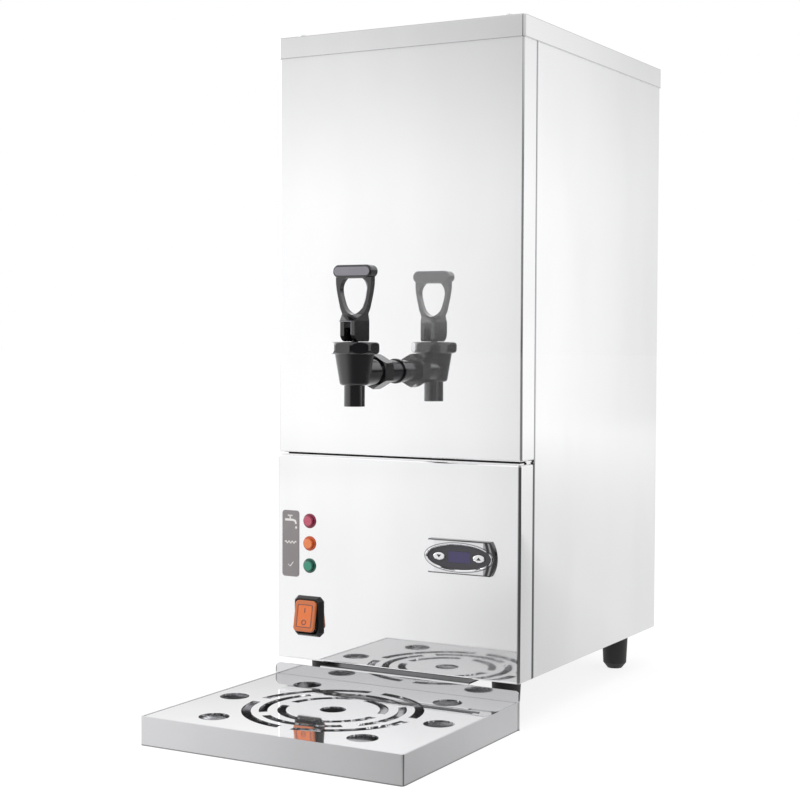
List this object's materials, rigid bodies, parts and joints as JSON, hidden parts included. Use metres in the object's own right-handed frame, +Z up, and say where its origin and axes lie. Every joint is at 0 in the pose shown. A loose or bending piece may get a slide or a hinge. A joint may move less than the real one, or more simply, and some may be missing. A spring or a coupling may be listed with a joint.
{
  "type": "hot water boiler",
  "caption": "Counter-top stainless steel hot water boiler with a lever tap, a slotted drip tray, indicator lamps, a rocker switch and a small display.",
  "frame": {"origin": "middle of the bounding box's base, on the counter", "axes": "+Z up, -Y towards the user, +X to the user's right"},
  "size_m": [0.2522, 0.5584, 0.6191],
  "materials": {
    "casing_steel": "mirror-polished stainless steel",
    "tray_steel": "polished stainless steel",
    "grille_steel": "polished stainless steel",
    "screw_steel": "bright stainless steel",
    "inner_steel": "plain stainless sheet",
    "foot_rubber": "matt black",
    "tap_plastic": "gloss black",
    "pad_grey": "satin grey",
    "tap_metal": "bright plated",
    "brass": "plain",
    "seal_rubber": "soft",
    "lamp_red": "tinted clear, unlit",
    "lamp_amber": "tinted clear, unlit",
    "lamp_green": "tinted clear, unlit",
    "label_grey": "satin",
    "switch_black": "satin black",
    "switch_amber": "translucent amber",
    "bezel_chrome": "bright plated plastic",
    "display_black": "dark grey",
    "window_violet": "dark violet, unlit",
    "foam": "grey foam jacket",
    "board_green": "circuit board",
    "plastic_white": "plain",
    "plastic_black": "plain"
  },
  "bodies": {
    "casing": {"lid": "casing_steel", "lid_screws": "screw_steel", "upper_front_panel": "casing_steel", "lower_front_panel": "casing_steel", "left_side_panel": "casing_steel", "right_side_panel": "casing_steel", "rear_panel": "casing_steel", "rear_screws": "screw_steel", "base_pan": "inner_steel", "foot_front_left": "foot_rubber", "foot_front_right": "foot_rubber", "foot_rear_left": "foot_rubber", "foot_rear_right": "foot_rubber", "foot_studs": "screw_steel", "tap_body": "tap_plastic", "tap_bonnet": "tap_plastic", "tap_spring": "tap_metal", "tap_nut": "tap_plastic", "tap_shank": "tap_metal", "tap_washer": "tap_plastic", "tap_back_nut": "tap_metal", "lamp_red": "lamp_red", "lamp_amber": "lamp_amber", "lamp_green": "lamp_green", "lamp_nuts": "plastic_black", "label_plate": "label_grey", "switch_frame": "switch_black", "display_bezel": "bezel_chrome", "display_face": "display_black", "display_window": "window_violet", "display_module": "plastic_black", "display_board": "board_green", "boiler_tank": "inner_steel", "tank_lid": "inner_steel", "insulation_jacket": "foam", "tank_shelf": "inner_steel", "heating_element": "inner_steel", "level_probes": "plastic_white", "overheat_cutout": "plastic_white", "inlet_pipe": "plastic_white", "inlet_valve": "plastic_white", "valve_coil": "plastic_black", "overflow_pipe": "plastic_white", "overflow_outlet": "plastic_white", "cable_gland": "plastic_black", "gland_nut": "plastic_black", "control_board": "board_green", "board_standoffs": "plastic_white", "terminal_block": "plastic_white"},
    "tray": {"drip_tray": "tray_steel"},
    "grille": {"drip_grille": "grille_steel"},
    "stem": {"tap_stem": "tap_metal", "tap_pin": "tap_metal", "tap_seat_cup": "seal_rubber"},
    "handle": {"tap_handle": "tap_plastic", "handle_pad": "pad_grey"},
    "rocker": {"switch_rocker": "switch_black", "switch_lens": "switch_amber"},
    "down_button": {"button_down": "display_black"},
    "up_button": {"button_up": "display_black"}
  },
  "joints": [
    {"name": "tray_pull", "type": "slide", "parent": "casing", "child": "tray", "axis": [0, -1, 0], "range_m": [0, 0.2]},
    {"name": "grille_lift", "type": "slide", "parent": "tray", "child": "grille", "axis": [0, 0, 1], "range_m": [0, 0.03]},
    {"name": "tap_lift", "type": "slide", "parent": "casing", "child": "stem", "axis": [0, 0, 1], "range_m": [0, 0.0032], "deforming": ["tap_spring"]},
    {"name": "handle_tilt", "type": "hinge", "parent": "stem", "child": "handle", "pos_m": [0, -0.1438, 0.3447], "axis": [1, 0, 0], "range_deg": [0, 45], "stiffness_Nm_per_rad": 0.05, "springref_deg": -14.32},
    {"name": "switch_rock", "type": "hinge", "parent": "casing", "child": "rocker", "pos_m": [-0.09, -0.0757, 0.0806], "axis": [1, 0, 0], "range_deg": [0, 21]},
    {"name": "down_press", "type": "slide", "parent": "casing", "child": "down_button", "axis": [0, 1, 0], "range_m": [0, 0.001], "stiffness_N_per_m": 600, "springref_m": -0.001},
    {"name": "up_press", "type": "slide", "parent": "casing", "child": "up_button", "axis": [0, 1, 0], "range_m": [0, 0.001], "stiffness_N_per_m": 600, "springref_m": -0.001}
  ],
  "couplings": [
    {"joint": "handle_tilt", "follows": "tap_lift", "rad_per_m": 245.4}
  ]
}
